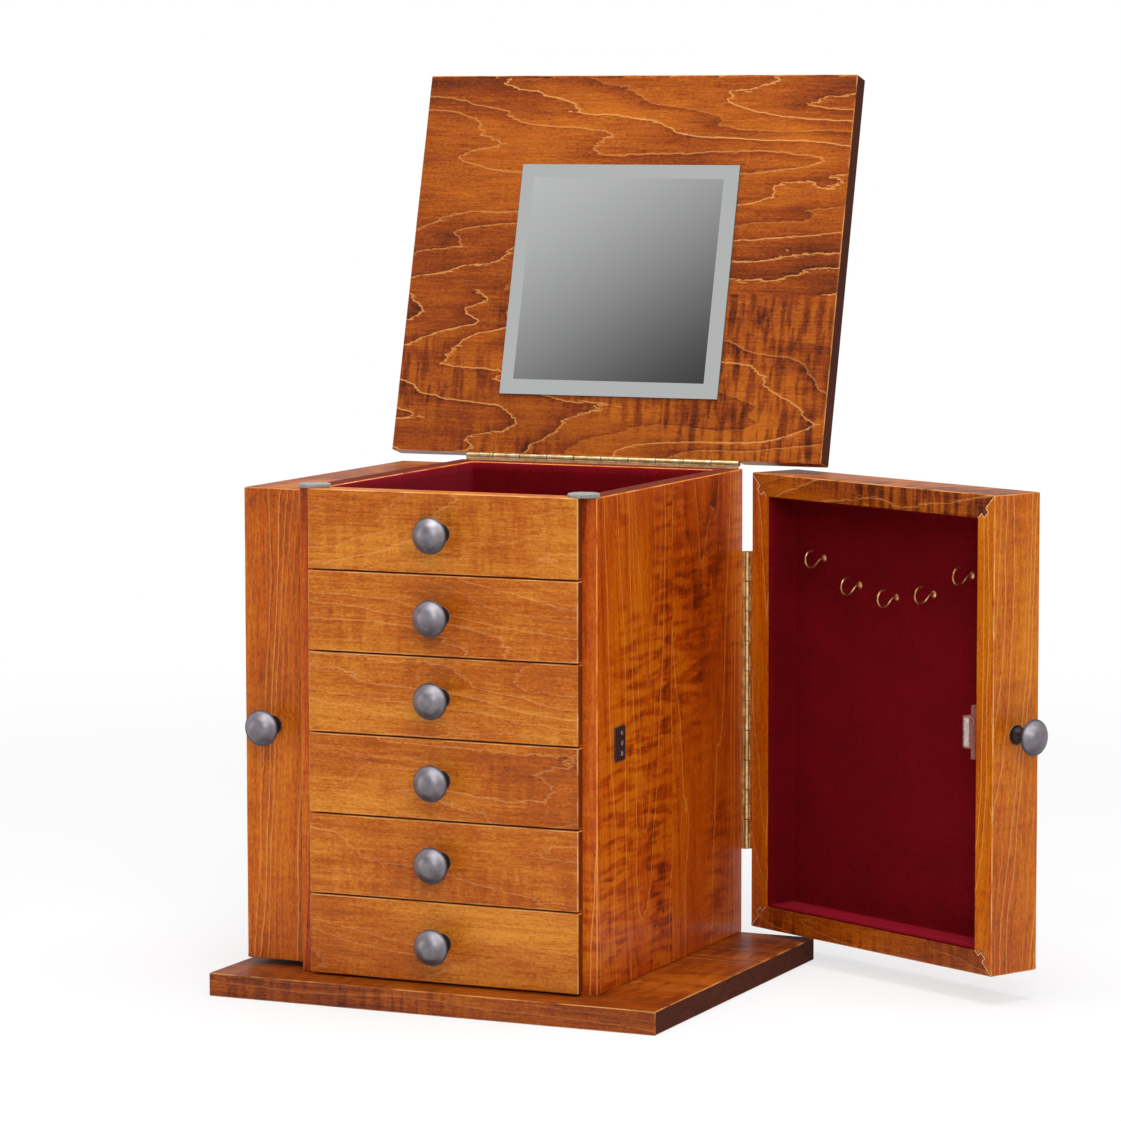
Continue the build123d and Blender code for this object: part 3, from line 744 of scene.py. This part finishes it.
# %% Lock mitre lines
MITRE_NEAR, MITRE_FAR, MITRE_STEP = 10.4 * MM, 14.9 * MM, 3.1 * MM
BOARD = 19.05 * MM
PROUD = 0.04 * MM
SUNK = 0.25 * MM
LINE_START = 0.9 * MM         # just inside the eased outer edge
INNER_END = 0.2 * MM          # how far the line stops short of the inner corner
PALE_EDGE = 0.35 * MM         # half the width of the pale line
DARK_EDGE = 1.0 * MM          # and where the dark line beside it ends


def offset_line(points, distance):
    """The same line moved sideways by a distance, with its corners kept sharp."""
    moved = []
    for n, point in enumerate(points):
        before = (point - points[n - 1]).normalized() if n else None
        after = (points[n + 1] - point).normalized() if n + 1 < len(points) else None
        before, after = before or after, after or before
        normals = [Vector((-d.y, d.x)) for d in (before, after)]
        middle = (normals[0] + normals[1]).normalized()
        moved.append(point + middle * (distance / max(0.3, middle.dot(normals[0]))))
    return moved


def joint_line(mesh, points, from_side, to_side, x, outwards):
    """A strip along a line in the plane of one face of a door frame."""
    rims = []
    for side in (from_side, to_side):
        for depth in (PROUD, -SUNK):
            rims.append([mesh.verts.new((x + outwards * depth, p.x, p.y))
                         for p in offset_line(points, side)])
    near_top, near_low, far_top, far_low = rims
    for n in range(len(points) - 1):
        for one, two in ((near_top, far_top), (far_top, far_low), (far_low, near_low),
                         (near_low, near_top)):
            mesh.faces.new((one[n], one[n + 1], two[n + 1], two[n]))
    for n in (0, -1):
        mesh.faces.new((near_top[n], far_top[n], far_low[n], near_low[n]))


# %% Painted highlight and shadow of the joints
def joint_paint(name, pale, dark):
    paint = Paint(name)
    cloudy = paint.grain(paint.scaled(500.0), 3.0, 0.6)
    return paint.finish(Base_Color=paint.mix(cloudy.rise(0.35, 0.65), dark, pale),
                        Roughness=0.5 + cloudy * 0.1, Normal=paint.bump(cloudy, 0.00005, 0.4))


# %% Lines on the door frames
# the pale strip is a painted highlight on the joint's edge, the dark one a painted shadow in its
# gap
painted_joint_highlight = joint_paint("painted_joint_highlight", srgb(252, 206, 170), srgb(226, 150, 96))
painted_joint_shadow = joint_paint("painted_joint_shadow", srgb(70, 22, 4), srgb(44, 12, 2))
low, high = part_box("left_door_stiles")
for side, turn in (("left", SHUT), ("right", RIGHT_DOOR)):
    for name, material, near, far in (("pale", painted_joint_highlight, -PALE_EDGE, PALE_EDGE),
                                      ("dark", painted_joint_shadow, PALE_EDGE, DARK_EDGE)):
        mesh = bmesh.new()
        for y, z, to_y, to_z in ((low.y, low.z, 1, 1), (low.y, high.z, 1, -1),
                                 (high.y, low.z, -1, 1), (high.y, high.z, -1, -1)):
            steps = [(LINE_START, LINE_START), (MITRE_NEAR, MITRE_NEAR),
                     (MITRE_NEAR - MITRE_STEP, MITRE_NEAR + MITRE_STEP),
                     (MITRE_FAR - MITRE_STEP, MITRE_FAR + MITRE_STEP), (MITRE_FAR, MITRE_FAR),
                     (BOARD - INNER_END, BOARD - INNER_END)]
            points = [Vector((y + to_y * a, z + to_z * b)) for a, b in steps]
            turned = to_y * to_z * (1 if to_z > 0 else -1)
            for x, outwards in ((low.x, -1), (high.x, 1)):
                joint_line(mesh, points, near * turned, far * turned, x, outwards)
        if side == "right":
            bmesh.ops.scale(mesh, vec=(-1, 1, 1), verts=mesh.verts)
        bmesh.ops.recalc_face_normals(mesh, faces=mesh.faces[:])
        mesh.transform(turn)
        piece(f"{side}_door_{name}_joint_lines", mesh, material, side + "_door",
              smooth_sides=0)

# %% [markdown]
# Every sixth knuckle of the lid's hinge is staked to its pin with two punch marks, small bright
# dimples with a raised burr. At this size only the burr shows, so each mark is a tiny dome.

# %% Stakes
STAKE_RADIUS = 0.55 * MM
STAKE_SUNK = 0.12 * MM        # the mark's foot lies inside the knuckle
STAKE_PROUD = 0.05 * MM       # less than the leaves' clearance, so that the lid can shut
stake_brass = brass("stake_brass", srgb(255, 246, 214), DEEP_BRASS, 700.0)
low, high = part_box("lid_hinge_leaf")
pin = Vector(joints["lid_hinge"]["pos_m"])
pitch = (high.x - low.x) / KNUCKLES
mesh = bmesh.new()
for knuckle in (1, 7, 13, 19):
    for shift, lift in ((-0.8, 0.5), (0.9, 0.9)):
        away = Vector((0, -math.cos(lift), math.sin(lift)))
        middle = Vector((low.x + (knuckle + 0.5) * pitch + shift * MM, pin.y, pin.z))
        disc_mesh(mesh, middle + away * (KNUCKLE_RADIUS - STAKE_SUNK), away, STAKE_RADIUS,
                  STAKE_SUNK + STAKE_PROUD)
piece("lid_hinge_stakes", mesh, stake_brass, "case")

# %% [markdown]
# The mirror is silvered glass. Its face and its bevel are one smooth metal, and only the thin
# ground edge is dull and greenish. The mirror is true flat, so what it shows comes from the room:
# a graded card stands in front of it, unseen by the camera, and only gloss sees it.

# %% Mirror
def mirror_material():
    paint = Paint("silvered_glass")
    through = LID.to_3x3() @ Z
    edge = 1 - abs(paint.facing().dot(through)).rise(0.2, 0.6)
    smear = paint.grain(paint.scaled(14.0), 3.0)
    glass = paint.mix(edge, srgb(232, 234, 233), srgb(96, 110, 104))
    return paint.finish(Base_Color=glass, Metallic=1 - edge * 0.8,
                        Roughness=0.015 + smear.rise(0.5, 0.8) * 0.02 + edge * 0.3)


wear(["lid_mirror"], mirror_material())

# %% The graded card
CARD_DISTANCE = 1.5
CARD_SIZE = 1.1
CARD_LIGHT, CARD_DARK = 0.62, 0.055
CARD_REACH = 0.27             # its shade changes while right plus up stays within this
mirror_low, mirror_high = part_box("lid_mirror")
mirror_middle = (mirror_low + mirror_high) / 2
mirror_normal = -(LID.to_3x3() @ Z)
towards_camera = (CAMERA_PLACE - mirror_middle).normalized()
bounce = (2 * mirror_normal.dot(towards_camera) * mirror_normal - towards_camera).normalized()


def card_material(right, up):
    paint = Paint("graded_card")
    fall = 0 - paint.place().dot(right) - paint.place().dot(up)
    grade = fall.rise(-CARD_REACH, CARD_REACH)
    glow = paint.mix(grade, (CARD_LIGHT,) * 3 + (1,), (CARD_DARK,) * 3 + (1,))
    light = paint.node("ShaderNodeEmission", None, {"Color": glow})
    paint.node("ShaderNodeOutputMaterial", None, {0: light})
    return paint.made


bpy.ops.mesh.primitive_plane_add(size=CARD_SIZE)
card = bpy.context.object
card.name = "graded_card"
card.location = mirror_middle + bounce * CARD_DISTANCE
card.rotation_mode = "QUATERNION"
card.rotation_quaternion = bounce.to_track_quat("-Z", "Y")
card.data.materials.append(card_material(X, Y))
card.visible_camera = card.visible_diffuse = card.visible_shadow = False
card.visible_transmission = False
card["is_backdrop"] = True
print("card:", CARD_SIZE, "m wide,", CARD_DISTANCE, "m from the mirror")

# %% [markdown]
# The velvet is one cut cloth for each hollow, glued to its floor and turned up its walls. It is
# modelled as a thin tray with soft inner corners. The cloth lies on glue, so it is never dead
# flat: a slow noise lifts it by a third of a millimetre. Its pile is in the material: velvet is
# dark face on and glows at a slant, and brushed patches lie lighter than their neighbours. Cloth
# that lies face up is painted a little paler than cloth on a wall, as painted light from above.

# %% Velvet
TOP_LIGHT_SHOW = 0.5


def velvet_material():
    paint = Paint("crimson_velvet")
    brushed = paint.grain(paint.scaled(24.0), 3.0, 0.55)
    nap = paint.grain(paint.scaled(420.0), 2.0, 0.6)
    pile = paint.grain(paint.scaled(2400.0), 2.0, 0.6)
    tone = brushed * 0.22 + nap * 0.34 + pile * 0.44
    cloth = paint.ramp(tone, [(0.30, srgb(70, 0, 2)), (0.52, srgb(104, 0, 8)),
                              (0.78, srgb(138, 4, 24))])
    # painted light: cloth that faces up is painted paler, as if lit from above
    painted_top_light = paint.facing().dot(Z).rise(0.5, 0.95)
    cloth = paint.mix(painted_top_light * TOP_LIGHT_SHOW, cloth, srgb(156, 14, 42))
    return paint.finish(Base_Color=cloth, Roughness=0.92,
                        Normal=paint.bump(pile + nap, 0.0004, 0.6),
                        Sheen_Weight=0.42, Sheen_Roughness=0.35, Sheen_Tint=srgb(235, 70, 100),
                        Specular_IOR_Level=0.1)


velvet = velvet_material()
print("velvet:", velvet.name)

# %% A tray of cloth
CLOTH = 1.2 * MM
CORNER = 1.6 * MM
LIFT = 0.35 * MM
CELL = 7 * MM
SETTLE = 8 * MM               # the lift grows to its full height over this depth


def tray(name, low, high, mouth, turn=SHUT):
    """A cloth tray inside a hollow. low and high are the hollow's corners in the shut chest.

    mouth is the direction of its open side, along X or Z.
    """
    mesh = bmesh.new()
    bmesh.ops.create_cube(mesh, size=1.0)
    size = high - low
    for vertex in mesh.verts:
        vertex.co = low + Vector([(c + 0.5) * s for c, s in zip(vertex.co, size)])
    rim = [f for f in mesh.faces if f.normal.dot(mouth) > 0.9]
    bmesh.ops.delete(mesh, geom=rim, context="FACES_ONLY")
    creases = [e for e in mesh.edges if len(e.link_faces) == 2]
    bmesh.ops.bevel(mesh, geom=creases, offset=CORNER, segments=3, profile=0.5, affect="EDGES")
    for axis in range(3):
        cuts = max(1, int(size[axis] / CELL))
        for step in range(1, cuts):
            normal = Vector([float(axis == a) for a in range(3)])
            point = low + normal * (size[axis] * step / cuts)
            geometry = mesh.verts[:] + mesh.edges[:] + mesh.faces[:]
            bmesh.ops.bisect_plane(mesh, geom=geometry, plane_co=point, plane_no=normal)
    bmesh.ops.reverse_faces(mesh, faces=mesh.faces[:])
    mesh.normal_update()
    for vertex in mesh.verts:
        depth = (high - vertex.co).dot(mouth) if mouth.dot(Vector((1, 1, 1))) > 0 \
            else (low - vertex.co).dot(mouth)
        settle = min(1.0, abs(depth) / SETTLE)
        puff = 0.5 + 0.5 * noise.noise(vertex.co * 22.0 + Vector((7.1, 3.3, 1.9)))
        vertex.co += vertex.normal * LIFT * puff * settle
    mesh.transform(turn)
    cloth = placed(name, mesh, velvet, math.inf)
    thick = cloth.modifiers.new("thickness", "SOLIDIFY")
    thick.thickness = CLOTH
    thick.offset = -1.0
    deep = abs(size.dot(mouth))
    wide, long = [s for s, m in zip(size, mouth) if abs(m) < 0.5]
    wide + 2 * deep
    long + 2 * deep
    wide * long + 2 * deep * (wide + long)
    return cloth


# %% Linings of the well and the doors
LINING = 1.5 * MM
low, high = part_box("well_velvet")
inset = Vector((LINING, LINING, 0))
well = tray("well_velvet_cloth", low + inset + Z * LINING, high - inset, Z)
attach(well, "case")
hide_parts("well_velvet")

# the left door is shut, so the right one's hollow is its mirror image before it turns
low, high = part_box("left_door_velvet")
inset = Vector((0, LINING, LINING))
left = tray("left_door_velvet_cloth", low + inset + X * LINING, high - inset, X)
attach(left, "left_door")
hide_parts("left_door_velvet")
mirror_low = Vector((-high.x, low.y, low.z))
mirror_high = Vector((-low.x, high.y, high.z))
right = tray("right_door_velvet_cloth", mirror_low + inset, mirror_high - inset - X * LINING, -X,
             RIGHT_DOOR)
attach(right, "right_door")
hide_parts("right_door_velvet")

# %% [markdown]
# Each drawer has a velvet tray of its own, a little lower than its sides.

# %% Drawer trays
DRAWER_SIDE = 9.5 * MM
TRAY_DROP = 2.0 * MM
HAIR = 0.15 * MM
for number in DRAWERS:
    box_low, box_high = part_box(f"drawer_{number}_box")
    front_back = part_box(f"drawer_{number}_front")[1].y
    bottom_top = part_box(f"drawer_{number}_bottom")[1].z
    gap = CLOTH + HAIR
    low = Vector((box_low.x + DRAWER_SIDE + gap, front_back + gap, bottom_top + gap))
    high = Vector((box_high.x - DRAWER_SIDE - gap, box_high.y - DRAWER_SIDE - gap,
                   box_high.z - TRAY_DROP))
    liner = tray(f"drawer_{number}_velvet_cloth", low, high, Z)
    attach(liner, f"drawer_{number}")

# %% [markdown]
# The two bumper pads are punched from felt. The edge of a punched disc is never clean: fibres
# stand out of it, so the rim is pushed in and out by a fine noise and the top is lumpy.

# %% Felt pads
def felt_material():
    paint = Paint("grey_felt")
    tufts = paint.grain(paint.scaled(900.0), 3.0, 0.7)
    fibres = paint.grain(paint.scaled(2600.0), 2.0, 0.7)
    felt = paint.ramp(tufts * 0.6 + fibres * 0.4, [
        (0.3, srgb(84, 82, 82)), (0.5, srgb(140, 138, 136)), (0.7, srgb(198, 195, 190))])
    return paint.finish(Base_Color=felt, Roughness=0.95, Sheen_Weight=0.3, Sheen_Roughness=0.5,
                        Normal=paint.bump(tufts + fibres, 0.0006, 0.8))


felt = felt_material()
print("felt:", felt.name)

# %% A punched pad
PAD_RADIUS = 12.7 * MM
PAD_RINGS = 14
PAD_SPOKES = 72


def felt_pad(name, middle, low, high):
    mesh = bmesh.new()
    top = [mesh.verts.new(middle + Z * (high - middle.z))]
    rings = []
    profile = [(share / PAD_RINGS, high) for share in range(1, PAD_RINGS)]
    profile += [(0.985, high - 0.35 * MM), (1.0, high - 1.0 * MM), (1.0, low + 0.8 * MM),
                (0.99, low)]
    for share, height in profile:
        ring = []
        for spoke in range(PAD_SPOKES):
            angle = 2 * math.pi * spoke / PAD_SPOKES
            out = Vector((math.cos(angle), math.sin(angle), 0))
            place = Vector((middle.x, middle.y, height)) + out * PAD_RADIUS * share
            lump = noise.noise(place * 900.0)
            place += out * lump * 0.35 * MM * share ** 8
            if height > low + 1.0 * MM:
                place.z += noise.noise(place * 420.0) * 0.22 * MM - 0.15 * MM
            ring.append(mesh.verts.new(place))
        rings.append(ring)
    for spoke in range(PAD_SPOKES):
        after = (spoke + 1) % PAD_SPOKES
        mesh.faces.new((top[0], rings[0][spoke], rings[0][after]))
        for inner, outer in zip(rings, rings[1:]):
            mesh.faces.new((inner[spoke], outer[spoke], outer[after], inner[after]))
    mesh.faces.new(list(reversed(rings[-1])))
    return placed(name, mesh, felt)


# %% Both pads
low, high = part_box("bumper_pads")
middle_y = (low.y + high.y) / 2
for name, x in (("felt_pad_left", low.x + PAD_RADIUS), ("felt_pad_right", high.x - PAD_RADIUS)):
    pad = felt_pad(name, Vector((x, middle_y, low.z)), low.z, high.z)
    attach(pad, "case")
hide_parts("bumper_pads")
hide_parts("bumper_pads")

# %% [markdown]
# The frame and the dressed chest should be the same size, so the size of all that is shown is
# printed.

# %% Size
low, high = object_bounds()
print("size in mm:", [round(s / MM, 1) for s in high - low])
